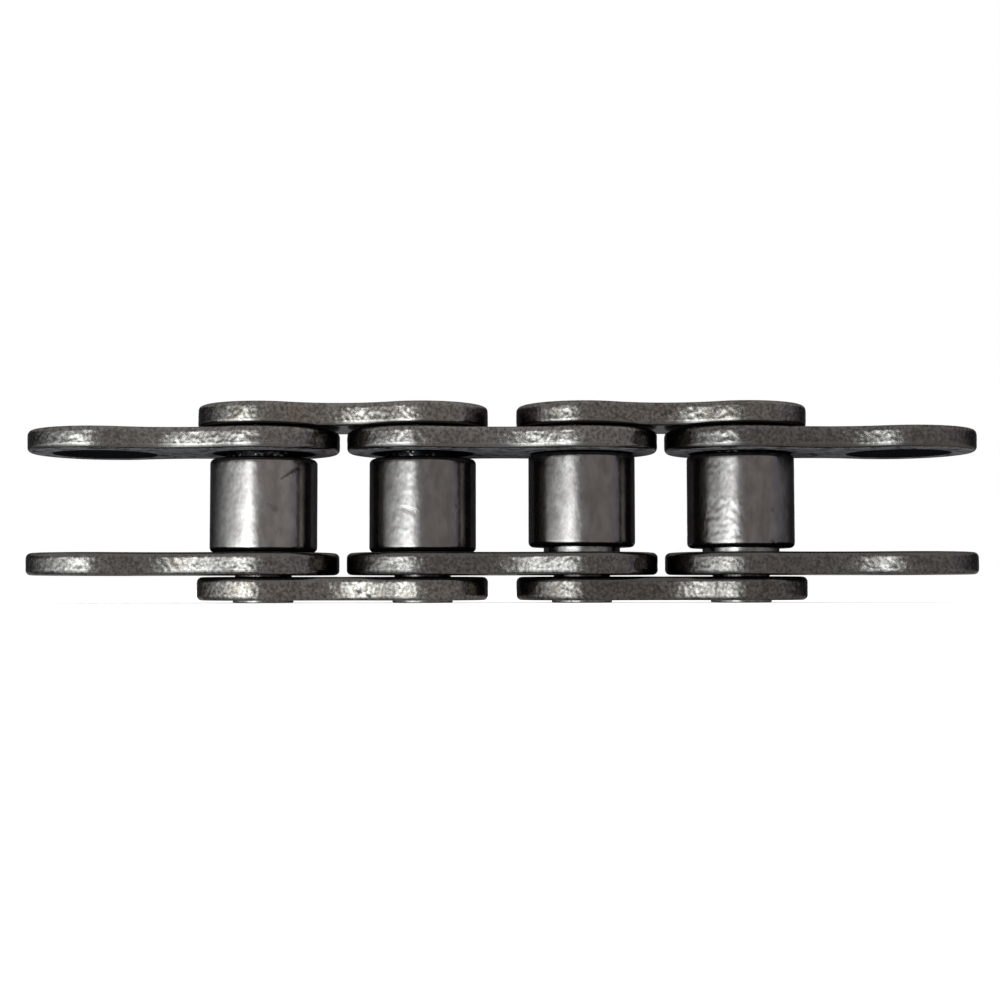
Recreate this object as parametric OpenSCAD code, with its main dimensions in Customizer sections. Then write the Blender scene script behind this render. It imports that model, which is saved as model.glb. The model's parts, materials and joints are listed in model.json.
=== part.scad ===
// Short strand of motorcycle roller chain, lying on its side with the pins upright.
// X runs along the strand, Z along the pins, and the origin is the middle of the strand.
// From left to right: an end link, an outer link, the centre link, an outer link, an end link.

/* [Pitch and rollers] */
// Distance from one pin to the next
pitch = 12.7; // [11.5:0.1:16]
// Clear width between the two inner plates of a link
inner_width = 7.94; // [6:0.02:10]
// Outer diameter of a roller
roller_d = 8.51; // [7.8:0.01:9.6]
// Total end float of a roller between its inner plates
roller_float = 0.5; // [0.4:0.02:1.2]
// Gap left under a roller that has dropped, or over one that has risen
roller_seat_gap = 0.05; // [0.02:0.01:0.2]
// Radius on the rim at each end of a roller
roller_rim_r = 0.4; // [0.2:0.05:0.7]

/* [Pins and bushes] */
// Diameter of a pin
pin_d = 4.5; // [4:0.05:5]
// Radial running clearance between a pin and its bush
pin_clearance = 0.05; // [0.02:0.01:0.1]
// Wall of a bush
bush_wall = 0.75; // [0.6:0.05:0.9]
// Radial running clearance between a bush and its roller
roller_clearance = 0.08; // [0.02:0.01:0.1]
// Chamfer at both ends of a bush, inside and outside
bush_chamfer = 0.15; // [0.05:0.01:0.25]
// Height of a riveted pin head over the outer plate
rivet_h = 0.2; // [0.1:0.05:0.6]
// How far a riveted pin head spreads past the pin, all round
rivet_spread = 0.15; // [0.05:0.05:0.4]
// Diameter of the dimple that the riveting punch leaves, at its mouth
dimple_d = 1.9; // [1.2:0.1:2.5]
// Diameter of that dimple at its floor
dimple_floor_d = 0.8; // [0.4:0.1:1.1]
// Depth of that dimple
dimple_depth = 0.35; // [0.1:0.05:0.6]

/* [Plates] */
// Thickness of an inner plate
inner_plate_t = 1.75; // [1.2:0.05:2.4]
// Thickness of an outer plate
outer_plate_t = 1.85; // [1.2:0.05:2.4]
// Gap between an inner plate and the outer plate beside it
side_gap = 0.15; // [0.1:0.05:0.6]
// Gap between the round ends of two neighbouring inner plates
end_gap = 0.64; // [0.4:0.02:1.2]
// How far the edge of an outer plate stands back from the edge of an inner plate
outer_plate_inset = 0.82; // [0.3:0.02:1.4]
// Depth of the waist on each long side of an inner plate
inner_waist_depth = 1.2; // [0.6:0.05:1.8]
// Depth of the waist on each long side of an outer plate
outer_waist_depth = 1.6; // [0.8:0.05:2.4]
// Radius on the edges of every plate
plate_edge_r = 0.4; // [0.1:0.05:0.6]

/* [Hidden] */
$fn = 96;
// Overlap that lets a cutting tool run past a face
past = 1;
// How far the hollow of a waist bites into the lobes that it touches, so that the two cross cleanly
waist_bite = 0.01;

// Sizes that follow from the ones above
bush_bore_d = pin_d + 2 * pin_clearance;
bush_d = bush_bore_d + 2 * bush_wall;
roller_bore_d = bush_d + 2 * roller_clearance;
roller_len = inner_width - roller_float;
roller_shift = roller_float / 2 - roller_seat_gap;
inner_lobe_r = (pitch - end_gap) / 2;
outer_lobe_r = inner_lobe_r - outer_plate_inset;
bush_len = inner_width + 2 * inner_plate_t;
outer_width = bush_len + 2 * side_gap;
over_plates = outer_width + 2 * outer_plate_t;
rivet_edge_r = min(rivet_h, rivet_spread) / 2;

// The four pin stations, as pitches from the middle of the strand
STATIONS = [-1.5, -0.5, 0.5, 1.5];
// How each roller lies in its end float: -1 dropped, 0 in the middle, 1 risen
ROLLER_LIE = [-1, -1, 1, 0.6];
// Inner links and outer links, with the middle of each in pitches
INNER_LINKS = [["left_end_link", -2], ["centre_link", 0], ["right_end_link", 2]];
OUTER_LINKS = [["left_outer_link", -1], ["right_outer_link", 1]];
// The two plates of a link, with the side of the strand that each is on
SIDES = [["upper_plate", 1], ["lower_plate", -1]];

// Half section of a disc with round edges, from the axis out to r
module round_edged_section(r, t, edge_r) {
    square([r - edge_r, t]);
    translate([0, edge_r]) square([r, t - 2 * edge_r]);
    for (z = [edge_r, t - edge_r]) translate([r - edge_r, z]) circle(r = edge_r);
}

// Half section of a tool that cuts a concave waist of radius r and leaves round edges on it
module waist_tool_section(r, t, edge_r) {
    difference() {
        translate([0, -past]) square([r + edge_r, t + 2 * past]);
        translate([r, edge_r]) square([edge_r + past, t - 2 * edge_r]);
        for (z = [edge_r, t - edge_r]) translate([r + edge_r, z]) circle(r = edge_r);
    }
}

// Figure-eight link plate from z = 0 to t: two round lobes a pitch apart, joined by a waist
// whose hollow sides run into the lobes. Both holes are plain bores.
module link_plate(lobe_r, waist_depth, t, hole_d) {
    waist_half = lobe_r - waist_depth;
    waist_r = (pow(pitch / 2, 2) + pow(waist_half, 2) - pow(lobe_r, 2)) / (2 * waist_depth);
    waist_y = waist_half + waist_r;
    difference() {
        union() {
            for (side = [-1, 1])
                translate([side * pitch / 2, 0, 0])
                    rotate_extrude() round_edged_section(lobe_r, t, plate_edge_r);
            linear_extrude(t) polygon([[-pitch / 2, 0], [0, -waist_y], [pitch / 2, 0], [0, waist_y]]);
        }
        for (side = [-1, 1]) {
            translate([0, side * waist_y, 0])
                rotate_extrude() waist_tool_section(waist_r + waist_bite, t, plate_edge_r);
            translate([side * pitch / 2, 0, -past]) cylinder(d = hole_d, h = t + 2 * past);
        }
    }
}

// Inner plate, pressed on the bushes. On an end link the far hole is open.
module inner_plate(middle, side) {
    color("dimgray")
        translate([middle * pitch, 0, side > 0 ? inner_width / 2 : -bush_len / 2])
            link_plate(inner_lobe_r, inner_waist_depth, inner_plate_t, bush_d);
}

// Outer plate, pressed on the pins
module outer_plate(middle, side) {
    color("dimgray")
        translate([middle * pitch, 0, side > 0 ? outer_width / 2 : -over_plates / 2])
            link_plate(outer_lobe_r, outer_waist_depth, outer_plate_t, pin_d);
}

// Bush, flush with the outer faces of the inner plates
module bush(station) {
    outer = bush_d / 2;
    bore = bush_bore_d / 2;
    half = bush_len / 2;
    color("silver")
        translate([station * pitch, 0, 0])
            rotate_extrude()
                polygon([
                    [bore + bush_chamfer, -half], [outer - bush_chamfer, -half], [outer, bush_chamfer - half],
                    [outer, half - bush_chamfer], [outer - bush_chamfer, half], [bore + bush_chamfer, half],
                    [bore, half - bush_chamfer], [bore, bush_chamfer - half]
                ]);
}

// Roller, loose on its bush between the inner plates
module roller(station, lie) {
    color("gray")
        translate([station * pitch, 0, lie * roller_shift - roller_len / 2])
            difference() {
                rotate_extrude() round_edged_section(roller_d / 2, roller_len, roller_rim_r);
                translate([0, 0, -past]) cylinder(d = roller_bore_d, h = roller_len + 2 * past);
            }
}

// One end of a pin from the middle of the strand up: the shank, and the riveted head over the plate
// with the dimple that the punch leaves in it
module pin_half() {
    head_d = pin_d + 2 * rivet_spread;
    top = over_plates / 2 + rivet_h;
    difference() {
        union() {
            cylinder(d = pin_d, h = over_plates / 2);
            translate([0, 0, over_plates / 2])
                rotate_extrude() round_edged_section(head_d / 2, rivet_h, rivet_edge_r);
        }
        translate([0, 0, top - dimple_depth]) cylinder(d1 = dimple_floor_d, d2 = dimple_d, h = dimple_depth);
    }
}

// Pin, riveted over both outer plates
module pin(station) {
    color("slategray")
        translate([station * pitch, 0, 0])
            for (turn = [0, 180]) rotate([turn, 0, 0]) pin_half();
}

for (link = INNER_LINKS)
    for (side = SIDES)
        inner_plate(link[1], side[1]);
for (link = OUTER_LINKS)
    for (side = SIDES)
        outer_plate(link[1], side[1]);
for (n = [1 : len(STATIONS)]) {
    bush(STATIONS[n - 1]);
    roller(STATIONS[n - 1], ROLLER_LIE[n - 1]);
    pin(STATIONS[n - 1]);
}
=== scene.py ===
# %% [markdown]
# # A short strand of motorcycle roller chain
# The strand has five links. Inner links carry bushes and rollers, outer links carry pins, and
# each pin turns in a bush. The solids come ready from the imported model, at their true size and
# place. In this lesson each of them is modelled again with a finer skin: blanked edges that are
# not quite smooth, tumbled corners, riveted pin heads, and steel that has been handled.
# Nothing is moved or resized, so the main sizes are measured on the solids first.

import json
import math

import bmesh
import bpy
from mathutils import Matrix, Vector, noise


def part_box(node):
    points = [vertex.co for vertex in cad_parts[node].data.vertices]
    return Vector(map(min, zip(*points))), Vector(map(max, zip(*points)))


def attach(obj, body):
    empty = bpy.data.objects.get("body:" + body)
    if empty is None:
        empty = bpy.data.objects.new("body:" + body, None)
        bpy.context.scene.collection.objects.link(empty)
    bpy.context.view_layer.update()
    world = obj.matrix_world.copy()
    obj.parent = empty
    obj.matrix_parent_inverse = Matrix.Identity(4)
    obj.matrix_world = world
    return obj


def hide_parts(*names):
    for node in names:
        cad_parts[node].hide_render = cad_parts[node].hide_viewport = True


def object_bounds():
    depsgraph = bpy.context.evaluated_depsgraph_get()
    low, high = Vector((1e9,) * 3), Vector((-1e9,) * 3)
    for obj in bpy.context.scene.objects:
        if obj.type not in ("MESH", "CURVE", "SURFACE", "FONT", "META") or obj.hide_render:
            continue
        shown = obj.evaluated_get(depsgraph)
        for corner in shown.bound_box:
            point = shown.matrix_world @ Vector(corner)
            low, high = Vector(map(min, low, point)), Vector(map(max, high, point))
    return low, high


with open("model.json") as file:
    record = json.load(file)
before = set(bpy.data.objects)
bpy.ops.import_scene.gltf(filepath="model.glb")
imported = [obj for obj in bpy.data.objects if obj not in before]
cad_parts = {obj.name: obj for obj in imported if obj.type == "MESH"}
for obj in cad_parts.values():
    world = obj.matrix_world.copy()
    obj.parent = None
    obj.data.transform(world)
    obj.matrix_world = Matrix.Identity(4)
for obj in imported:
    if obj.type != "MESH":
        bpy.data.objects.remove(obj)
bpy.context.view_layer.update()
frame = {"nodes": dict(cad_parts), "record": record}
MM = 0.001
print("solids in the frame:", len(frame["nodes"]))

# %% [markdown]
# ## What the solids say
# A learner is tempted to type the sizes in again. It is safer to ask the model: a box of one
# node gives a plate's length, its thickness and its height over the floor, and two pins give
# the pitch. Only what a box can't tell, such as the depth of a waist, is written here.

# %% Measure the links
LINKS = {
    "left_end_link": "inner",
    "centre_link": "inner",
    "right_end_link": "inner",
    "left_outer_link": "outer",
    "right_outer_link": "outer",
}
STATIONS = (1, 2, 3, 4)


def middle(node):
    low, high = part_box(node)
    return (low + high) / 2


def size(node):
    low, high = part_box(node)
    return high - low


pin_x = [middle(f"pin_{n}").x for n in STATIONS]
pitch = pin_x[1] - pin_x[0]
bush_radius = size("bush_1").x / 2
bush_bore_radius = 2.3 * MM
roller_radius = size("roller_1").x / 2
roller_bore_radius = 3.13 * MM
pin_radius = 2.25 * MM
floor_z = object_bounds()[0][2]
print(f"pitch {pitch / MM:.2f} mm, roller {2 * roller_radius / MM:.2f} mm")
print(f"floor at {floor_z / MM:.2f} mm")

# %% [markdown]
# ## Camera
# The strand is seen square from the side, from just above the surface that it lies on, with a
# lens a little longer than normal. The camera tips up by about three degrees, so the undersides
# of the upper plates show and the strand sits in the middle of the picture.

# %% Place the camera
CAMERA_PLACE = Vector((-0.18, -127.0, -6.83)) * MM
CAMERA_TIP = 0.0559
CAMERA_ROLL = 0.0011
LENS = 57.25

bpy.ops.object.select_all(action="DESELECT")
camera_turn = (math.pi / 2 + CAMERA_TIP, CAMERA_ROLL, 0)
bpy.ops.object.camera_add(location=CAMERA_PLACE, rotation=camera_turn)
camera = bpy.context.object
camera.data.lens = LENS
camera.data.clip_start = MM
bpy.context.scene.camera = camera
print("camera stands", round(-CAMERA_PLACE.y / MM), "mm in front of the pins")

# %% [markdown]
# ## Helpers for edit mode
# Operators work on what is selected. So each piece starts with an empty selection, and each step
# picks vertices, edges or faces by where they are or which way they face. `pick` is the code's
# version of a careful click: it gives every item of one kind to a test and selects those that pass.


# %% Select and edit
def open_for_edit(piece):
    bpy.ops.object.select_all(action="DESELECT")
    piece.select_set(True)
    bpy.context.view_layer.objects.active = piece
    bpy.ops.object.mode_set(mode="EDIT")


def close_edit():
    bpy.ops.object.mode_set(mode="OBJECT")
    return bpy.context.object


def pick(kind, test):
    bpy.ops.mesh.select_mode(type=kind)
    bpy.ops.mesh.select_all(action="DESELECT")
    mesh = bmesh.from_edit_mesh(bpy.context.object.data)
    mesh.normal_update()
    items = {"VERT": mesh.verts, "EDGE": mesh.edges, "FACE": mesh.faces}[kind]
    found = [item for item in items if test(item)]
    for item in found:
        item.select_set(True)
    mesh.select_flush_mode()
    bmesh.update_edit_mesh(bpy.context.object.data)
    return len(found)


def edge_middle(edge):
    return (edge.verts[0].co + edge.verts[1].co) / 2


def apply_modifier(piece, kind, **settings):
    open_for_edit(piece)
    close_edit()
    modifier = piece.modifiers.new(kind.title(), kind)
    for name, value in settings.items():
        setattr(modifier, name, value)
    bpy.ops.object.modifier_apply(modifier=modifier.name)


# %% [markdown]
# ## Link plates
# A link plate is blanked from steel strip in one stroke of a press and then tumbled, which rounds
# its edges. It is a figure eight: two round lobes and a waist whose hollow sides run smoothly into
# them. A boolean of cylinders would give that outline too, but it leaves long thin faces that
# spoil the rounding. Here half of the outline is drawn from arcs: a circle for the lobe, cut
# where the waist takes over, and two short spins for the hollow sides. The line that closes it in
# the middle gets only a few points, farther apart than the rounding of the edges will be wide.
# The usual merging distances are far too coarse for a piece this small, so each step that has
# one is told to treat only points a hair apart as the same.

# %% Draw half of the outline
HAIR = 1e-6
STEP = 0.085 * MM
SEAM_STEP = 0.6 * MM
WAIST_DEPTH = {"inner": 1.2 * MM, "outer": 1.6 * MM}


def half_outline(lobe_r, waist_depth, z):
    waist_half = lobe_r - waist_depth
    waist_r = ((pitch / 2) ** 2 + waist_half**2 - lobe_r**2) / (2 * waist_depth)
    waist_y = waist_half + waist_r
    touch = Vector((pitch / 2, 0, z)) + Vector((-pitch / 2, waist_y, 0)).normalized() * lobe_r
    waist_turn = math.atan2(pitch / 2, waist_y)

    bpy.ops.object.select_all(action="DESELECT")
    round_steps = 4 * round(math.pi * lobe_r / STEP / 2)
    bpy.ops.mesh.primitive_circle_add(
        vertices=round_steps, radius=lobe_r, fill_type="NGON", location=(pitch / 2, 0, z)
    )
    bpy.ops.object.transform_apply(location=True, rotation=False, scale=False)
    bpy.ops.object.mode_set(mode="EDIT")
    bpy.ops.mesh.bisect(plane_co=touch, plane_no=(-1, 0, 0), clear_outer=True, threshold=HAIR)
    bpy.ops.mesh.select_all(action="SELECT")
    bpy.ops.mesh.delete(type="ONLY_FACE")
    pick("EDGE", lambda e: abs(edge_middle(e).y) < STEP and edge_middle(e).x < pitch / 2)
    bpy.ops.mesh.delete(type="EDGE")
    for side in (1, -1):
        end = Vector((touch.x, side * touch.y, z))
        pick("VERT", lambda v: (v.co - end).length < HAIR)
        bpy.ops.mesh.spin(
            steps=round(waist_r * waist_turn / STEP),
            angle=side * waist_turn,
            center=(0, side * waist_y, z),
            axis=(0, 0, 1),
        )
    pick("VERT", lambda v: abs(v.co.x) < HAIR)
    bpy.ops.mesh.edge_face_add()
    pick("EDGE", lambda e: abs(edge_middle(e).x) < HAIR)
    bpy.ops.mesh.subdivide(number_cuts=round(2 * waist_half / SEAM_STEP))
    return close_edit()


# %% [markdown]
# ## From the outline to a solid plate
# The hole gets a ring with as many points as the outline, so the two bridge into clean rings of
# four-sided faces. A mirror makes the other lobe, an extrusion gives the thickness, and a bevel
# with several segments rounds the edges as tumbling does. The edges of the holes are only
# broken. Last, the upright band round the plate is cut into rows, so that it can be roughened
# later. Mirroring, rounding and cutting into rows come back for other pieces, so each is a helper.

# %% Bridge, mirror, extrude and round
EDGE_RADIUS = 0.4 * MM
EDGE_SEGMENTS = 6
HOLE_BREAK = 0.1 * MM
BREAK_SEGMENTS = 2
ROUND_PROFILE = 0.5
FACE_RINGS = 5
BAND_ROWS = 11
FLAT = 0.9
ACROSS_X = (True, False, False)
ACROSS_Z = (False, False, True)


def mirror(piece, axes):
    apply_modifier(piece, "MIRROR", use_axis=axes, use_mirror_merge=True, merge_threshold=HAIR)


def round_picked_edges(width, segments):
    bpy.ops.mesh.bevel(offset=width, segments=segments, profile=ROUND_PROFILE, affect="EDGES")


def cut_upright_edges(shortest, rows):
    pick("EDGE", lambda e: abs(e.verts[0].co.z - e.verts[1].co.z) > shortest)
    bpy.ops.mesh.subdivide(number_cuts=rows)


def bore_distance(place):
    return min(math.hypot(place.x - side * pitch / 2, place.y) for side in (1, -1))


def is_rim(edge):
    flat = [abs(face.normal.z) > FLAT for face in edge.link_faces]
    return sorted(flat) == [False, True]


def solid_plate(name, lobe_r, waist_depth, hole_r, low, high):
    plate = half_outline(lobe_r, waist_depth, low)
    plate.name = name
    points = len(plate.data.vertices)
    open_for_edit(plate)
    bpy.ops.mesh.primitive_circle_add(vertices=points, radius=hole_r, location=(pitch / 2, 0, low))
    bpy.ops.mesh.select_all(action="SELECT")
    bpy.ops.mesh.bridge_edge_loops(number_cuts=FACE_RINGS, interpolation="LINEAR")
    close_edit()
    mirror(plate, ACROSS_X)
    open_for_edit(plate)
    bpy.ops.mesh.select_all(action="SELECT")
    bpy.ops.mesh.extrude_region_move(TRANSFORM_OT_translate={"value": (0, 0, high - low)})
    bpy.ops.mesh.select_all(action="SELECT")
    bpy.ops.mesh.normals_make_consistent(inside=False)
    pick("EDGE", lambda e: is_rim(e) and bore_distance(edge_middle(e)) > hole_r + HAIR)
    round_picked_edges(EDGE_RADIUS, EDGE_SEGMENTS)
    pick("EDGE", lambda e: is_rim(e) and bore_distance(edge_middle(e)) < hole_r + HAIR)
    round_picked_edges(HOLE_BREAK, BREAK_SEGMENTS)
    cut_upright_edges(EDGE_RADIUS, BAND_ROWS)
    return close_edit()


# %% Make one plate of each kind
PLATE_SAMPLE = {"inner": "centre_link_upper_plate", "outer": "left_outer_link_upper_plate"}
PLATE_HOLE = {"inner": bush_radius, "outer": pin_radius}

plate_patterns = {}
for kind, sample in PLATE_SAMPLE.items():
    low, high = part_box(sample)
    plate_patterns[kind] = solid_plate(
        f"{kind}_plate_pattern",
        lobe_r=(high.y - low.y) / 2,
        waist_depth=WAIST_DEPTH[kind],
        hole_r=PLATE_HOLE[kind],
        low=low.z,
        high=high.z,
    )
    print(kind, "plate:", len(plate_patterns[kind].data.polygons), "faces")

# %% [markdown]
# ## Rollers and bushes
# Both are turned rings: a bush is a thin tube that is pressed in the plates, and a roller is a
# thicker one that runs on it. Each is modelled the way a lathe shapes it. A circle is extruded to
# a wall, its top edge is drawn in to the bore, the bore goes down, and a bridge closes
# the bottom. Then the rims are rounded and the wall is cut into rows.

# %% Turn a ring
ROLLER_STEPS = 240
PIN_STEPS = 144


def start_ring(name, steps, radius, place):
    bpy.ops.object.select_all(action="DESELECT")
    bpy.ops.mesh.primitive_circle_add(vertices=steps, radius=radius, location=place)
    ring = bpy.context.object
    ring.name = name
    bpy.ops.object.transform_apply(location=True, rotation=False, scale=False)
    open_for_edit(ring)
    bpy.ops.mesh.select_mode(type="EDGE")
    bpy.ops.mesh.select_all(action="SELECT")
    return ring


def extrude_ring(x, radius_ratio, rise, z):
    bpy.ops.mesh.extrude_region_move(TRANSFORM_OT_translate={"value": (0, 0, rise)})
    if radius_ratio != 1:
        ratios = (radius_ratio, radius_ratio, 1)
        bpy.ops.transform.resize(value=ratios, center_override=(x, 0, z + rise))


def axis_distance(place, x):
    return math.hypot(place.x - x, place.y)


def turned_ring(name, node, steps, bore_r, rim_r, rim_segments, bore_break, wall_rows):
    low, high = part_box(node)
    x = (low.x + high.x) / 2
    outer_r = (high.x - low.x) / 2
    length = high.z - low.z
    start_ring(name, steps, outer_r, (x, 0, low.z))
    extrude_ring(x, 1, length, low.z)
    extrude_ring(x, bore_r / outer_r, 0, high.z)
    extrude_ring(x, 1, -length, high.z)
    pick("EDGE", lambda e: len(e.link_faces) == 1)
    bpy.ops.mesh.bridge_edge_loops()
    bpy.ops.mesh.select_all(action="SELECT")
    bpy.ops.mesh.normals_make_consistent(inside=False)
    mid_wall = (outer_r + bore_r) / 2
    pick("EDGE", lambda e: is_rim(e) and axis_distance(edge_middle(e), x) > mid_wall)
    round_picked_edges(rim_r, rim_segments)
    pick("EDGE", lambda e: is_rim(e) and axis_distance(edge_middle(e), x) < mid_wall)
    round_picked_edges(bore_break, BREAK_SEGMENTS)
    cut_upright_edges(length / 2, wall_rows)
    return close_edit()


# %% Make one roller and one bush
ROLLER_RIM = 0.4 * MM
RIM_SEGMENTS = 8
CHAMFER = 0.15 * MM
ROLLER_ROWS = 48
BUSH_ROWS = 24

roller_pattern = turned_ring(
    "roller_pattern",
    "roller_1",
    steps=ROLLER_STEPS,
    bore_r=roller_bore_radius,
    rim_r=ROLLER_RIM,
    rim_segments=RIM_SEGMENTS,
    bore_break=CHAMFER,
    wall_rows=ROLLER_ROWS,
)
bush_pattern = turned_ring(
    "bush_pattern",
    "bush_1",
    steps=PIN_STEPS,
    bore_r=bush_bore_radius,
    rim_r=CHAMFER,
    rim_segments=BREAK_SEGMENTS,
    bore_break=CHAMFER,
    wall_rows=BUSH_ROWS,
)
print("roller:", len(roller_pattern.data.polygons), "faces")
print("bush:", len(bush_pattern.data.polygons), "faces")

# %% [markdown]
# ## Pins
# A pin is pressed through the outer plates, and then a punch spreads each end over the plate.
# That leaves a low head, a little wider than the pin, with a dimple in its middle. Only
# the upper half is modelled, ring by ring from the middle of the strand up, and a mirror
# makes the lower half.

# %% Turn half of a pin and mirror it
DIMPLE_MOUTH = 0.95 * MM
DIMPLE_FLOOR = 0.4 * MM
DIMPLE_DEPTH = 0.35 * MM
HEAD_ROUND = 0.09 * MM
HEAD_SEGMENTS = 4
SHANK_ROWS = 30


def is_ring(edge):
    radii = [axis_distance(v.co, pin_x[0]) for v in edge.verts]
    return abs(radii[0] - radii[1]) < HAIR


def is_top_ring(edge, top):
    return all(abs(v.co.z - top) < HAIR for v in edge.verts) and is_ring(edge)


def riveted_pin(name, node):
    low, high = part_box(node)
    x = (low.x + high.x) / 2
    head_r = (high.x - low.x) / 2
    plate_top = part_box("left_outer_link_upper_plate")[1].z
    pin = start_ring(name, PIN_STEPS, pin_radius, (x, 0, 0))
    extrude_ring(x, 1, plate_top, 0)
    extrude_ring(x, head_r / pin_radius, 0, plate_top)
    extrude_ring(x, 1, high.z - plate_top, plate_top)
    extrude_ring(x, DIMPLE_MOUTH / head_r, 0, high.z)
    extrude_ring(x, DIMPLE_FLOOR / DIMPLE_MOUTH, -DIMPLE_DEPTH, high.z)
    bpy.ops.mesh.fill_grid(span=PIN_STEPS // 4)
    bpy.ops.mesh.select_all(action="SELECT")
    bpy.ops.mesh.normals_make_consistent(inside=False)
    pick("EDGE", lambda e: is_top_ring(e, high.z))
    round_picked_edges(HEAD_ROUND, HEAD_SEGMENTS)
    cut_upright_edges(plate_top / 2, SHANK_ROWS)
    close_edit()
    mirror(pin, ACROSS_Z)
    return pin


pin_pattern = riveted_pin("pin_pattern", "pin_1")
print("pin:", len(pin_pattern.data.polygons), "faces")

# %% [markdown]
# ## Which parts are edge and which are face
# The blanked edge of a plate is rougher than its rolled faces. Only a narrow zone beside the inner
# face is smooth, where the punch sheared the steel before it tore. The rims of every piece
# are rubbed the brightest. The inner faces round the holes and the upper half of each bush get a
# dark film that is oil and painted shade, and the dimples of the pins are darkened by dirt and
# painted shade. So marks are made before anything is copied: a vertex group tells the roughening
# how much to act on each point, and attributes, which a material can read, say what is rim, band,
# sheared zone, ring of oil and painted shade, or darkening.

# %% Mark the edges of the plates
BAND_START = 0.1
SHEARED_HEIGHT = 0.34 * MM
SHEARED_WAVER = 0.25 * MM
WAVER_GRAIN = 1.1 * MM
# Oil and painted shade on the inner faces: darkest in a ring round each hole
OIL_AND_SHADE_RING = 4.15 * MM
OIL_AND_SHADE_SLOPE = 2.0 * MM
OIL_AND_SHADE_BORDER = 0.5


def write_mark(piece, name, values):
    mark = piece.data.attributes.new(name, "FLOAT", "POINT")
    mark.data.foreach_set("value", values)


def mark_rims(piece, is_rubbed=lambda place: True):
    slopes = []
    for point in piece.data.vertices:
        slope = 2 * abs(point.normal.z) * math.hypot(point.normal.x, point.normal.y)
        slopes.append(slope * is_rubbed(point.co))
    write_mark(piece, "rim", slopes)


def is_sheared(place, low):
    waver = SHEARED_WAVER * noise.noise(Vector((place.x, place.y, 0)) / WAVER_GRAIN)
    return place.z - low < SHEARED_HEIGHT + waver


def mark_plate(plate, hole_r):
    points = plate.data.vertices
    low = min(v.co.z for v in points)
    outside = [bore_distance(v.co) > hole_r + 2 * HOLE_BREAK for v in points]
    band = [math.hypot(v.normal.x, v.normal.y) * out for v, out in zip(points, outside)]
    write_mark(plate, "band", band)
    sheared = [edge > BAND_START and is_sheared(v.co, low) for v, edge in zip(points, band)]
    write_mark(plate, "sheared", [float(inside) for inside in sheared])
    # Oil and painted shade: strongest in a ring round each hole, fading outwards
    oil_and_shade = [OIL_AND_SHADE_BORDER + (OIL_AND_SHADE_RING - bore_distance(v.co)) / OIL_AND_SHADE_SLOPE for v in points]
    write_mark(plate, "oil_and_shade", oil_and_shade)


# %% Put oil and painted shade on the inner faces and weight the roughness
FACE_SHARE = 0.12
SHEARED_SHARE = 0.1


def holds_oil_and_shade(face, hole_r):
    in_hole = bore_distance(face.calc_center_median()) < hole_r + HOLE_BREAK
    return face.normal.z < -FLAT or (in_hole and face.normal.z < FLAT)


def put_oil_and_shade_on_inner_face(plate, hole_r):
    open_for_edit(plate)
    bpy.ops.object.material_slot_add()
    bpy.ops.object.material_slot_add()
    pick("FACE", lambda f: holds_oil_and_shade(f, hole_r))
    plate.active_material_index = 1
    bpy.ops.object.material_slot_assign()
    close_edit()


def weight_roughness(plate, hole_r):
    low = min(v.co.z for v in plate.data.vertices)
    tests = (
        (FACE_SHARE, lambda f, place: abs(f.normal.z) >= FLAT),
        (1.0, lambda f, place: abs(f.normal.z) < FLAT),
        (SHEARED_SHARE, lambda f, place: abs(f.normal.z) < FLAT and is_sheared(place, low)),
        (0.0, lambda f, place: bore_distance(place) < hole_r + 2 * HOLE_BREAK),
    )
    open_for_edit(plate)
    bpy.ops.object.vertex_group_add()
    plate.vertex_groups.active.name = "rough"
    for weight, test in tests:
        pick("FACE", lambda f: test(f, f.calc_center_median()))
        bpy.context.scene.tool_settings.vertex_group_weight = weight
        bpy.ops.object.vertex_group_assign()
    close_edit()


# %% Mark the pins, the bushes and all rims
# How far the dimples are darkened, by dirt and painted shade
DIMPLE_DIRT_AND_SHADE = 0.75


def is_outside_dimple(place):
    return axis_distance(place, pin_x[0]) > DIMPLE_MOUTH + 2 * HEAD_ROUND


def mark_pin(pin):
    mark_rims(pin, is_outside_dimple)
    in_dimple = [axis_distance(v.co, pin_x[0]) < DIMPLE_MOUTH for v in pin.data.vertices]
    # Dirt and painted shade in each dimple
    write_mark(pin, "darkening", [DIMPLE_DIRT_AND_SHADE * inside for inside in in_dimple])


def mark_bush(bush):
    # Oil and painted shade: the upper half of each bush, under the upper plates, gets the dark film
    write_mark(bush, "oil_and_shade", [float(v.co.z > 0) for v in bush.data.vertices])


for kind, plate in plate_patterns.items():
    mark_plate(plate, PLATE_HOLE[kind])
    weight_roughness(plate, PLATE_HOLE[kind])
    put_oil_and_shade_on_inner_face(plate, PLATE_HOLE[kind])
for pattern in (*plate_patterns.values(), roller_pattern, bush_pattern):
    mark_rims(pattern)
mark_pin(pin_pattern)
mark_bush(bush_pattern)
marks = plate_patterns["inner"].data.attributes
print("marks:", [mark.name for mark in marks if mark.data_type == "FLOAT"])

# %% [markdown]
# ## Copies in their places
# One plate of each kind, one roller, one bush and one pin are enough. Each copy gets its own
# mesh, which is moved to the place of its solid in edit mode, so the object itself stays at the
# origin. A lower plate is turned over first, because the sheared side of both plates faces inward.
# Each copy also gets a mark that scales how light its colour is. This is painted light and shade:
# the first roller is lighter, and most plates darker, the lower ones and those at the right end
# most.

# %% Copy every piece to its place
SLOTS = {
    "inner": "inner_plate_steel",
    "outer": "outer_plate_steel",
    "bush": "bush_steel",
    "roller": "roller_steel",
    "pin": "pin_steel",
}
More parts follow.
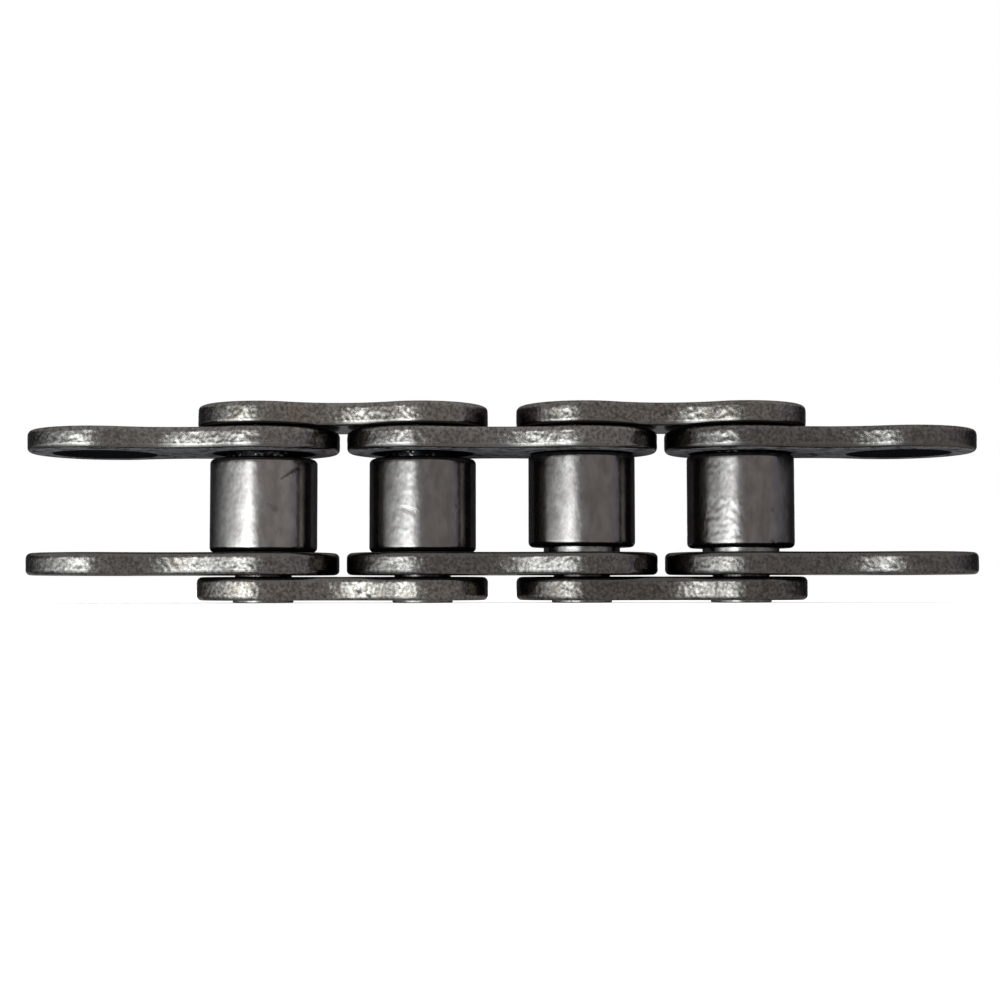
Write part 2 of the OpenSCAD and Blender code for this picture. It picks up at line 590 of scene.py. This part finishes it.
# Painted light and shade: the level by which each piece's colour is made lighter or darker
PAINTED_LIGHT_LEVELS = {
    "left_end_link_upper_plate": 0.95,
    "left_end_link_lower_plate": 0.82,
    "centre_link_upper_plate": 0.95,
    "centre_link_lower_plate": 0.68,
    "right_end_link_upper_plate": 0.66,
    "right_end_link_lower_plate": 0.68,
    "left_outer_link_lower_plate": 0.92,
    "right_outer_link_upper_plate": 0.85,
    "right_outer_link_lower_plate": 0.62,
    "roller_1": 1.36,
}
body_of = {
    node: body
    for body, nodes in frame["record"]["behaviour"]["bodies"].items()
    for node in nodes
}
pieces = {kind: {} for kind in SLOTS}


def mesh_middle(piece):
    corners = [Vector(corner) for corner in piece.bound_box]
    return sum(corners, Vector()) / len(corners)


def copy_to(pattern, node, kind):
    bpy.ops.object.select_all(action="DESELECT")
    pattern.select_set(True)
    bpy.context.view_layer.objects.active = pattern
    bpy.ops.object.duplicate(linked=False)
    piece = bpy.context.object
    piece.name = piece.data.name = f"{node}_finished"
    bpy.ops.object.mode_set(mode="EDIT")
    bpy.ops.mesh.select_all(action="SELECT")
    start = mesh_middle(pattern)
    if node.endswith("lower_plate"):
        bpy.ops.transform.rotate(value=math.pi, orient_axis="X", center_override=start)
    bpy.ops.transform.translate(value=middle(node) - start)
    bpy.ops.object.mode_set(mode="OBJECT")
    # Painted light and shade level of this copy
    write_mark(piece, "painted_light_level", [PAINTED_LIGHT_LEVELS.get(node, 1.0)] * len(piece.data.vertices))
    pieces[kind][node] = piece


for link, kind in LINKS.items():
    for side in ("upper_plate", "lower_plate"):
        copy_to(plate_patterns[kind], f"{link}_{side}", kind)
for kind, pattern in (("bush", bush_pattern), ("roller", roller_pattern), ("pin", pin_pattern)):
    for n in STATIONS:
        copy_to(pattern, f"{kind}_{n}", kind)
for pattern in (*plate_patterns.values(), bush_pattern, roller_pattern, pin_pattern):
    bpy.data.objects.remove(pattern)
print({kind: len(found) for kind, found in pieces.items()})

# %% [markdown]
# ## Blanked edges and handled surfaces
# A blanked edge has a torn zone, and tumbling leaves soft hollows and lumps in it, a few hundredths
# of a millimetre high. They make the glints along the plates, so they are real shape here, and
# not only shading. A Displace modifier with a cloud texture does it. Every copy is
# already in its place, so the same texture gives each plate its own lumps. A roller has long, slow
# waves from tumbling, and shallow dents where sprocket teeth have knocked it. How many dents it has
# is a matter of luck, so another vertex group gives the dents to some zones more than to others.

# %% Roughen the pieces
def cloud_texture(name, grain, depth):
    texture = bpy.data.textures.new(name, "CLOUDS")
    texture.noise_scale = grain
    texture.noise_depth = depth
    return texture


edge_lumps = cloud_texture("edge_lumps", grain=0.6 * MM, depth=1)
edge_tears = cloud_texture("edge_tears", grain=0.3 * MM, depth=0)
roller_waves = cloud_texture("roller_waves", grain=0.9 * MM, depth=1)
roller_dents = cloud_texture("roller_dents", grain=0.35 * MM, depth=0)
LUMP_HEIGHT = 0.032 * MM
TEAR_HEIGHT = 0.015 * MM
WAVE_HEIGHT = 0.008 * MM
DENT_HEIGHT = 0.02 * MM
DENT_SPREAD = 2.5 * MM
MEAN_LUCK = 0.25
LUCK_SPREAD = 0.5
KNOCKED = 0.9
KNOCKED_BELOW = {"roller_4": 0.2 * MM}


def displace(piece, texture, height, group=""):
    apply_modifier(
        piece,
        "DISPLACE",
        texture=texture,
        texture_coords="LOCAL",
        strength=height,
        vertex_group=group,
    )


def weight_dents(roller, knocked_below):
    group = roller.vertex_groups.new(name="dented")
    for point in roller.data.vertices:
        luck = MEAN_LUCK + LUCK_SPREAD * noise.noise(point.co / DENT_SPREAD)
        share = KNOCKED if point.co.z < knocked_below else min(max(luck, 0.0), 1.0)
        upright = math.hypot(point.normal.x, point.normal.y)
        group.add([point.index], share * upright, "REPLACE")


plates = (*pieces["inner"].values(), *pieces["outer"].values())
for plate in plates:
    displace(plate, edge_lumps, LUMP_HEIGHT, "rough")
    displace(plate, edge_tears, TEAR_HEIGHT, "rough")
for node, roller in pieces["roller"].items():
    weight_dents(roller, KNOCKED_BELOW.get(node, -math.inf))
    displace(roller, roller_waves, WAVE_HEIGHT)
    displace(roller, roller_dents, DENT_HEIGHT, "dented")
print("roughened", len(plates), "plates and", len(pieces["roller"]), "rollers")

# %% [markdown]
# ## Scratches and pits
# Handling leaves a few deeper marks: a slanting scratch on one roller, nicks on others, and pits
# in the edges of some plates. Each is cut into the mesh. The faces near it are subdivided, because
# the mesh is coarser than a scratch is wide, and the points inside it sink along their normals.
# Two passes, a wide one and a narrow one, make a V-shaped groove. It starts thinner than it ends,
# and a little noise keeps its sides from being straight. Dirt stays in it, so the same points are
# marked for the material.

# %% Cut scratches and pits
# node, kind, start (x, z), end (x, z), half width, depth (all in millimetres), share of dirt
MARKS = (
    ("roller_1", "roller", (-17.15, 1.75), (-15.95, 2.60), 0.18, 0.035, 0.75),
    ("roller_1", "roller", (-18.10, -0.30), (-17.55, -0.65), 0.28, 0.01, 0.3),
    ("roller_2", "roller", (-7.70, -0.55), (-6.80, -0.90), 0.30, 0.007, 0.15),
    ("roller_2", "roller", (-3.62, -0.30), (-3.50, -0.36), 0.20, 0.01, 0.35),
    ("roller_4", "roller", (20.90, -3.15), (21.05, -3.40), 0.18, 0.04, 0.7),
    ("roller_4", "roller", (20.86, -0.66), (20.96, -0.72), 0.22, 0.01, 0.3),
    ("left_outer_link_lower_plate", "outer", (-11.25, -6.95), (-11.05, -7.05), 0.22, 0.08, 1.0),
    ("left_outer_link_lower_plate", "outer", (-10.45, -7.30), (-10.25, -7.35), 0.18, 0.07, 1.0),
    ("right_outer_link_upper_plate", "outer", (12.60, 6.70), (13.10, 6.95), 0.20, 0.05, 0.6),
    ("right_end_link_lower_plate", "inner", (29.50, -4.90), (29.95, -5.10), 0.20, 0.05, 0.6),
)
MARK_MARGIN = 0.3 * MM
MARK_CUTS = 3
RAGGED_GRAIN = 0.2 * MM
RAGGED = 0.06 * MM
THIN_START = 0.08 * MM


def distance_to_mark(place, start, end):
    if place.y > 0:
        return math.inf
    here = Vector((place.x, place.z))
    along = end - start
    share = min(max((here - start).dot(along) / along.length_squared, 0.0), 1.0)
    ragged = RAGGED * noise.noise(place / RAGGED_GRAIN)
    return (here - start - share * along).length + ragged + THIN_START * (1 - share)


def cut_mark(piece, start, end, width, depth):
    def is_near(place, normal, reach):
        return abs(normal.z) < FLAT and distance_to_mark(place, start, end) < reach

    open_for_edit(piece)
    pick("FACE", lambda f: is_near(f.verts[0].co, f.normal, width + MARK_MARGIN))
    bpy.ops.mesh.subdivide(number_cuts=MARK_CUTS)
    for reach in (width, width / 2):
        pick("VERT", lambda v: is_near(v.co, v.normal, reach))
        bpy.ops.transform.shrink_fatten(value=-depth / 2)
    close_edit()


def mark_dirt(piece, cuts):
    darkening = []
    for point in piece.data.vertices:
        shares = [
            dirty * min(2 - 2 * distance_to_mark(point.co, start, end) / width, 1.0)
            for start, end, width, dirty in cuts
        ]
        darkening.append(max(0.0, *shares))
    write_mark(piece, "darkening", darkening)


cuts_of = {}
for node, kind, start, end, width, depth, dirty in MARKS:
    start, end = Vector(start) * MM, Vector(end) * MM
    cut_mark(pieces[kind][node], start, end, width * MM, depth * MM)
    cuts_of.setdefault((kind, node), []).append((start, end, width * MM, dirty))
for (kind, node), cuts in cuts_of.items():
    mark_dirt(pieces[kind][node], cuts)
print("marks cut in:", {node: len(cuts) for (kind, node), cuts in cuts_of.items()})

# %% [markdown]
# ## Smooth shading and bodies
# Every corner is real geometry, so all faces can be shaded smooth, and only creases sharper than
# thirty degrees stay hard. Then each piece is tied to the frame: the solid that it replaces is
# hidden, and the piece hangs from the body that carries it.

# %% Shade the pieces and tie them to the frame
CREASE = math.radians(30)
for kind, found in pieces.items():
    for node, piece in found.items():
        open_for_edit(piece)
        close_edit()
        bpy.ops.object.shade_smooth_by_angle(angle=CREASE)
        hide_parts(node)
        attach(piece, body_of[node])

# %% [markdown]
# ## Steel
# All five finishes are the same dark, slightly brown steel, worked in different ways, so they
# share one recipe. Two sizes of noise mottle the colour, the roughness and the relief, a third one
# stains it brown, and the rims are rubbed bright. The marks that were made above add the smooth
# sheared zone, a film of oil and painted shade on the bushes, darkening by dirt in the scratches
# and pits and by dirt and painted shade in the dimples, and each piece's painted light level. The
# noise is read in object coordinates, where one unit is a metre, so a grain of a tenth of a
# millimetre has a scale of ten thousand.


# %% Node helpers
def make(tree, kind, **inputs):
    made = tree.nodes.new(f"ShaderNode{kind}")
    for name, value in inputs.items():
        plug(tree, value, made.inputs[name.replace("_", " ").title()])
    return made.outputs[0]


def plug(tree, value, socket):
    if isinstance(value, bpy.types.NodeSocket):
        tree.links.new(value, socket)
    else:
        socket.default_value = value


def maths(tree, operation, first, second):
    made = tree.nodes.new("ShaderNodeMath")
    made.operation = operation
    plug(tree, first, made.inputs[0])
    plug(tree, second, made.inputs[1])
    return made.outputs[0]


# A colour mix keeps its share, first colour, second colour and result at these sockets
MIX_INPUTS = (0, 6, 7)
MIX_RESULT = 2


def blend(tree, share, first, second):
    made = tree.nodes.new("ShaderNodeMix")
    made.data_type = "RGBA"
    for socket, value in zip(MIX_INPUTS, (share, first, second)):
        plug(tree, value, made.inputs[socket])
    return made.outputs[MIX_RESULT]


def spread(tree, value, low, high, to_low=0.0, to_high=1.0):
    ends = {"from_min": low, "from_max": high, "to_min": to_low, "to_max": to_high}
    return make(tree, "MapRange", value=value, **ends)


def scaled(tree, colour, factor):
    made = tree.nodes.new("ShaderNodeVectorMath")
    made.operation = "SCALE"
    plug(tree, colour, made.inputs["Vector"])
    plug(tree, factor, made.inputs["Scale"])
    return made.outputs["Vector"]


# %% What every material starts from
NOISE_DETAIL = 2.0
NOISE_ROUGHNESS = 0.5


def new_material(name):
    material = bpy.data.materials.new(name)
    material.use_nodes = True
    return material, material.node_tree, material.node_tree.nodes["Principled BSDF"]


def object_place(tree):
    return tree.nodes.new("ShaderNodeTexCoord").outputs["Object"]


def mark_of(tree, name):
    mark = tree.nodes.new("ShaderNodeAttribute")
    mark.attribute_name = name
    return mark.outputs["Fac"]


def noise_of(tree, place, grain, detail=NOISE_DETAIL, roughness=NOISE_ROUGHNESS):
    scale = 1 / grain
    return make(tree, "TexNoise", vector=place, scale=scale, detail=detail, roughness=roughness)


# %% The steel recipe
EDGE_TINT = (0.42, 0.42, 0.42, 1)
# Share of its colour that a fully darkened point keeps
DARKEST_SHARE = 0.2
SHEARED_ROUGHNESS = 0.2
# How many grains wide the two coarser noises are
MOTTLE_GRAINS = 4
BLOTCH_GRAINS = 14
# The noise values between which a change happens, and the shares that it runs through
MOTTLE_RANGE = (0.35, 0.65)
FINE_RANGE = (0.3, 0.7)
STAIN_RANGE, STAIN_SHARES = (0.5, 0.75), (0.0, 0.7)
WORN_RANGE, WORN_SHARES = (0.35, 0.6), (0.1, 0.8)
SHEARED_SHARES = (0.45, 1.0)
OIL_AND_SHADE_RANGE, OIL_AND_SHADE_SHARES = (0.52, 0.6), (1.0, 0.65)
# How much the mottling, the flat faces and the sheared zone count in the relief
MOTTLE_RELIEF = 2.0
FACE_RELIEF = 0.3
SHEARED_RELIEF = 0.5


def steel_base(name):
    material, tree, shader = new_material(name)
    shader.inputs["Metallic"].default_value = 1.0
    shader.inputs["Specular Tint"].default_value = EDGE_TINT
    return material, tree, shader


def worked_steel(
    name, dark, light, stain, worn, grain, roughness, bump, draw=1.0, sheared=None, oil_and_shade_colour=None
):
    material, tree, shader = steel_base(name)
    place = object_place(tree)
    drawn = make(tree, "Mapping", vector=place, scale=(1, 1, 1 / draw))
    mottle = noise_of(tree, drawn, MOTTLE_GRAINS * grain)
    fine = noise_of(tree, drawn, grain)
    blotch = noise_of(tree, place, BLOTCH_GRAINS * grain)

    colour = blend(tree, spread(tree, mottle, *MOTTLE_RANGE), (*dark, 1), (*light, 1))
    stained = spread(tree, blotch, *STAIN_RANGE, *STAIN_SHARES)
    colour = blend(tree, stained, colour, (*stain, 1))
    rubbed = spread(tree, mottle, *WORN_RANGE, *WORN_SHARES)
    rubbed = maths(tree, "MULTIPLY", mark_of(tree, "rim"), rubbed)
    colour = blend(tree, rubbed, colour, (*worn, 1))
    rough = spread(tree, fine, *FINE_RANGE, *roughness)
    relief = maths(tree, "ADD", fine, maths(tree, "MULTIPLY", mottle, MOTTLE_RELIEF))
    strength = 1.0
    if sheared:
        zone = mark_of(tree, "sheared")
        smooth = spread(tree, mottle, *WORN_RANGE, *SHEARED_SHARES)
        smooth = maths(tree, "MULTIPLY", zone, smooth)
        colour = blend(tree, smooth, colour, (*sheared, 1))
        rough = spread(tree, zone, 0, 1, rough, SHEARED_ROUGHNESS)
        torn = spread(tree, mark_of(tree, "band"), 0, 1, FACE_RELIEF, 1.0)
        strength = maths(tree, "MULTIPLY", torn, spread(tree, zone, 0, 1, 1.0, SHEARED_RELIEF))
    # Oil and painted shade: patches of near-black film on the marked part of a bush
    if oil_and_shade_colour:
        cover = spread(tree, mottle, *OIL_AND_SHADE_RANGE, *OIL_AND_SHADE_SHARES)
        cover = maths(tree, "MULTIPLY", mark_of(tree, "oil_and_shade"), cover)
        colour = blend(tree, cover, colour, (*oil_and_shade_colour, 1))
    # Darkening: dirt in the scratches and pits, dirt and painted shade in the dimples
    kept_share = spread(tree, mark_of(tree, "darkening"), 0, 1, 1.0, DARKEST_SHARE)
    # The painted light level makes each piece lighter or darker
    colour = scaled(tree, colour, maths(tree, "MULTIPLY", mark_of(tree, "painted_light_level"), kept_share))
    tree.links.new(colour, shader.inputs["Base Color"])
    tree.links.new(rough, shader.inputs["Roughness"])
    normal = make(tree, "Bump", strength=strength, distance=bump, height=relief)
    tree.links.new(normal, shader.inputs["Normal"])
    return material


# %% The five finishes
FINISHES = {
    "inner": worked_steel(
        "blanked_inner_plate_steel",
        dark=(0.060, 0.054, 0.049),
        light=(0.142, 0.127, 0.117),
        stain=(0.080, 0.064, 0.054),
        worn=(0.18, 0.17, 0.16),
        grain=0.062 * MM,
        roughness=(0.17, 0.28),
        bump=0.0045 * MM,
        sheared=(0.118, 0.109, 0.102),
    ),
    "outer": worked_steel(
        "blanked_outer_plate_steel",
        dark=(0.058, 0.051, 0.045),
        light=(0.148, 0.131, 0.118),
        stain=(0.082, 0.063, 0.051),
        worn=(0.17, 0.16, 0.15),
        grain=0.062 * MM,
        roughness=(0.17, 0.28),
        bump=0.0045 * MM,
        sheared=(0.112, 0.102, 0.094),
    ),
    "roller": worked_steel(
        "tumbled_roller_steel",
        dark=(0.084, 0.074, 0.069),
        light=(0.114, 0.103, 0.097),
        stain=(0.092, 0.076, 0.074),
        worn=(0.13, 0.122, 0.114),
        grain=0.16 * MM,
        draw=2.0,
        roughness=(0.15, 0.24),
        bump=0.003 * MM,
    ),
    "bush": worked_steel(
        "drawn_bush_steel",
        dark=(0.10, 0.093, 0.088),
        light=(0.17, 0.16, 0.152),
        stain=(0.09, 0.078, 0.072),
        worn=(0.2, 0.19, 0.18),
        grain=0.1 * MM,
        roughness=(0.16, 0.28),
        bump=0.003 * MM,
        # near-black oil and painted shade on the upper half of the bush
        oil_and_shade_colour=(0.004, 0.004, 0.005),
    ),
    "pin": worked_steel(
        "riveted_pin_steel",
        dark=(0.05, 0.045, 0.042),
        light=(0.10, 0.092, 0.086),
        stain=(0.05, 0.041, 0.036),
        worn=(0.18, 0.17, 0.16),
        grain=0.08 * MM,
        roughness=(0.2, 0.35),
        bump=0.004 * MM,
    ),
}
print("finishes:", sorted(material.name for material in FINISHES.values()))

# %% [markdown]
# ## Oil and painted shade on the inner faces
# Between the plates the chain keeps its oil. The inner faces get a dark film that takes the shine
# off the steel, darkest in a ring round each bush; it is oil and painted shade. The thin film is
# lighter under the upper plates than on the lower plates. It is no metal, so it is a material of
# its own, on the faces that were put in the second slot above.

# %% Film of oil and painted shade
FILM_SHINE = 0.0
FILM_ROUGHNESS = (0.35, 0.6)
FILM_BUMP = 0.01 * MM
SMEAR_GRAIN, SMEAR_DETAIL, SMEAR_ROUGHNESS = 0.9 * MM, 4.0, 0.6
SMEAR_RANGE = (0.45, 0.7)
GRIT_GRAIN = 0.12 * MM
RING_BLUR = 0.06
RING_RANGE = (OIL_AND_SHADE_BORDER - RING_BLUR, OIL_AND_SHADE_BORDER + RING_BLUR)


def oil_and_shade_film(name, thick, thin):
    material, tree, shader = new_material(name)
    shader.inputs["Specular IOR Level"].default_value = FILM_SHINE
    place = object_place(tree)
    smear = noise_of(tree, place, SMEAR_GRAIN, SMEAR_DETAIL, SMEAR_ROUGHNESS)
    grit = noise_of(tree, place, GRIT_GRAIN)
    ring = spread(tree, mark_of(tree, "oil_and_shade"), *RING_RANGE)
    cover = maths(tree, "MAXIMUM", ring, spread(tree, smear, *SMEAR_RANGE))
    tree.links.new(blend(tree, cover, (*thin, 1), (*thick, 1)), shader.inputs["Base Color"])
    tree.links.new(spread(tree, grit, *FINE_RANGE, *FILM_ROUGHNESS), shader.inputs["Roughness"])
    tree.links.new(make(tree, "Bump", distance=FILM_BUMP, height=grit), shader.inputs["Normal"])
    return material


# Oil and painted shade: near-black round the bushes, the thin film lighter under the upper plates
# than on the lower plates
THICK_OIL_AND_SHADE = (0.006, 0.006, 0.007)
OIL_AND_SHADE = {
    "upper_plate": oil_and_shade_film("oil_and_shade_under_upper_plates", THICK_OIL_AND_SHADE, thin=(0.135, 0.13, 0.135)),
    "lower_plate": oil_and_shade_film("oil_and_shade_on_lower_plates", THICK_OIL_AND_SHADE, thin=(0.032, 0.030, 0.030)),
}
for kind, found in pieces.items():
    for node, piece in found.items():
        if kind in ("inner", "outer"):
            film = OIL_AND_SHADE["lower_plate" if node.endswith("lower_plate") else "upper_plate"]
            piece.material_slots[0].material = FINISHES[kind]
            piece.material_slots[1].material = film if kind == "inner" else FINISHES[kind]
        else:
            piece.data.materials.clear()
            piece.data.materials.append(FINISHES[kind])
print("oil films:", sorted(film.name for film in OIL_AND_SHADE.values()))

# %% [markdown]
# ## Floor and world
# The strand lies on a plain pale surface in a white room, which lights it evenly from all sides, so
# each colour renders about as it is written. Steel would mirror the paper under it, and then the
# rounded lower edges show nothing but paper. So reflections look past the floor into the room,
# which is a little darker there, and the floor only carries the strand and its shadow.

# %% White floor and white world
WHITE = (1, 1, 1, 1)
FLOOR_SIZE = 6.0
FLOOR_LIFT = 0.62
ROOM_BELOW = 0.7
DARKEST_BELOW = -0.7
PAPER_COLOUR = (0.7, 0.7, 0.7, 1)
PAPER_ROUGHNESS = 0.9

world = bpy.data.worlds.new("white_room")
bpy.context.scene.world = world
world.use_nodes = True
tree = world.node_tree
tree.nodes["Background"].inputs["Color"].default_value = WHITE
direction = tree.nodes.new("ShaderNodeSeparateXYZ")
tree.links.new(tree.nodes.new("ShaderNodeTexCoord").outputs["Generated"], direction.inputs[0])
room = spread(tree, direction.outputs["Z"], DARKEST_BELOW, 0.0, ROOM_BELOW, 1.0)
tree.links.new(room, tree.nodes["Background"].inputs["Strength"])

bpy.ops.object.select_all(action="DESELECT")
bpy.ops.mesh.primitive_plane_add(size=FLOOR_SIZE, location=(0, 0, floor_z))
floor = bpy.context.object
floor.name = "floor"
floor.visible_glossy = False
floor.visible_shadow = False
paper, tree, paper_shader = new_material("white_paper")
paper_shader.inputs["Base Color"].default_value = PAPER_COLOUR
paper_shader.inputs["Roughness"].default_value = PAPER_ROUGHNESS
paper_shader.inputs["Specular IOR Level"].default_value = 0.0
paper_shader.inputs["Emission Color"].default_value = WHITE
paths = tree.nodes.new("ShaderNodeLightPath").outputs
seen = maths(tree, "MAXIMUM", paths["Is Camera Ray"], paths["Is Transmission Ray"])
seen = maths(tree, "MAXIMUM", seen, paths["Is Glossy Ray"])
lift = spread(tree, seen, 0, 1, 0.0, FLOOR_LIFT)
tree.links.new(lift, paper_shader.inputs["Emission Strength"])
floor.data.materials.append(paper)
print("floor", FLOOR_SIZE, "m wide, in a white room")

# %% [markdown]
# ## Studio cards
# Steel shows what stands round it. A soft box on the left draws the bright upright stripe on
# each roller: its right border is short, and to the left and upwards it fades out. It ends not far
# over the strand, so that top faces mirror the white room and not its dim upper part. Grey cards
# behind the strand, which darken towards the middle, keep the sides of the rollers and the ends of
# the lobes dark. Both are cut from upright rings, and how bright they are is read along the
# ring from a colour ramp. The camera itself doesn't see them.

# %% Soft box and grey cards
CARD_STEPS = 360
BOX_RADIUS, BOX_DROP, BOX_RISE = 0.60, 0.85, 0.12
BOX_COLOUR = (0.89, 1.0, 1.04, 1)
BOX_BRIGHTNESS = 24.0
BOX_LEVELS = {
    -125: 0.02, -110: 0.035, -98: 0.06, -88: 0.1, -78: 0.15, -68: 0.21, -57: 0.31, -46: 0.45,
    -36: 0.67, -28: 0.92, -23: 0.94, -18: 0.62, -13: 0.3, -8: 0.17, -4: 0.12,
}
BOX_HEIGHTS = {
    -0.3: 0.3, -0.1: 0.65, -0.02: 1.0, 0.0: 0.95, 0.013: 0.62,
    0.034: 0.385, 0.05: 0.265, 0.065: 0.15, 0.09: 0.07,
}
GREY_RADIUS, GREY_DROP, GREY_RISE = 0.66, 0.10, 0.20
GREY_COLOUR = (0.92, 0.95, 1.1, 1)
GREY_LEVELS = {
    66: 1.0, 76: 0.9, 84: 0.8, 92: 0.65, 100: 0.49,
    108: 0.37, 116: 0.26, 126: 0.18, 140: 0.2, 180: 0.12,
}


def bearing(place):
    return math.degrees(math.atan2(place.x, -place.y))


def upright_card(name, radius, drop, rise, keep):
    card = start_ring(name, CARD_STEPS, radius, (0, 0, 0))
    bpy.ops.transform.translate(value=(0, 0, -drop))
    bpy.ops.mesh.extrude_region_move(TRANSFORM_OT_translate={"value": (0, 0, drop + rise)})
    pick("FACE", lambda f: not keep(bearing(f.calc_center_median())))
    bpy.ops.mesh.delete(type="FACE")
    close_edit()
    card.visible_camera = False
    card.visible_shadow = False
    return card


def level_along(tree, value, levels):
    first, last = min(levels), max(levels)
    ramp = tree.nodes.new("ShaderNodeValToRGB")
    tree.links.new(spread(tree, value, first, last), ramp.inputs["Fac"])
    stops = ramp.color_ramp.elements
    while len(stops) < len(levels):
        stops.new(0.5)
    for stop, (place, level) in zip(stops, sorted(levels.items())):
        stop.position = (place - first) / (last - first)
        stop.color = (level, level, level, 1)
    return ramp.outputs["Color"]


# %% Light the cards
def card_glow(name, colour, brightness, levels, both_sides=False, heights=None):
    material, tree, shader = new_material(name)
    tree.nodes.remove(shader)
    axes = tree.nodes.new("ShaderNodeSeparateXYZ")
    tree.links.new(object_place(tree), axes.inputs[0])
    front = maths(tree, "MULTIPLY", axes.outputs["Y"], -1.0)
    turn = maths(tree, "ARCTAN2", axes.outputs["X"], front)
    if both_sides:
        turn = maths(tree, "MAXIMUM", turn, maths(tree, "MULTIPLY", turn, -1.0))
    radians = {math.radians(angle): level for angle, level in levels.items()}
    strength = maths(tree, "MULTIPLY", level_along(tree, turn, radians), brightness)
    if heights:
        strength = maths(tree, "MULTIPLY", strength, level_along(tree, axes.outputs["Z"], heights))
    emission = make(tree, "Emission", color=colour, strength=strength)
    tree.links.new(emission, tree.nodes["Material Output"].inputs["Surface"])
    return material


soft_box = upright_card(
    "soft_box",
    BOX_RADIUS,
    BOX_DROP,
    BOX_RISE,
    keep=lambda turn: min(BOX_LEVELS) < turn < max(BOX_LEVELS),
)
soft_box.data.materials.append(
    card_glow("soft_box_glow", BOX_COLOUR, BOX_BRIGHTNESS, BOX_LEVELS, heights=BOX_HEIGHTS)
)
grey_card = upright_card(
    "grey_card",
    GREY_RADIUS,
    GREY_DROP,
    GREY_RISE,
    keep=lambda turn: abs(turn) > min(GREY_LEVELS),
)
grey_card.data.materials.append(
    card_glow("grey_card_glow", GREY_COLOUR, 1.0, GREY_LEVELS, both_sides=True)
)
grey_card.visible_diffuse = False
print("cards:", soft_box.name, "and", grey_card.name)

# %% [markdown]
# ## View transform
# Standard shows each colour about as it is written.

# %% Finish
bpy.context.scene.view_settings.view_transform = "Standard"
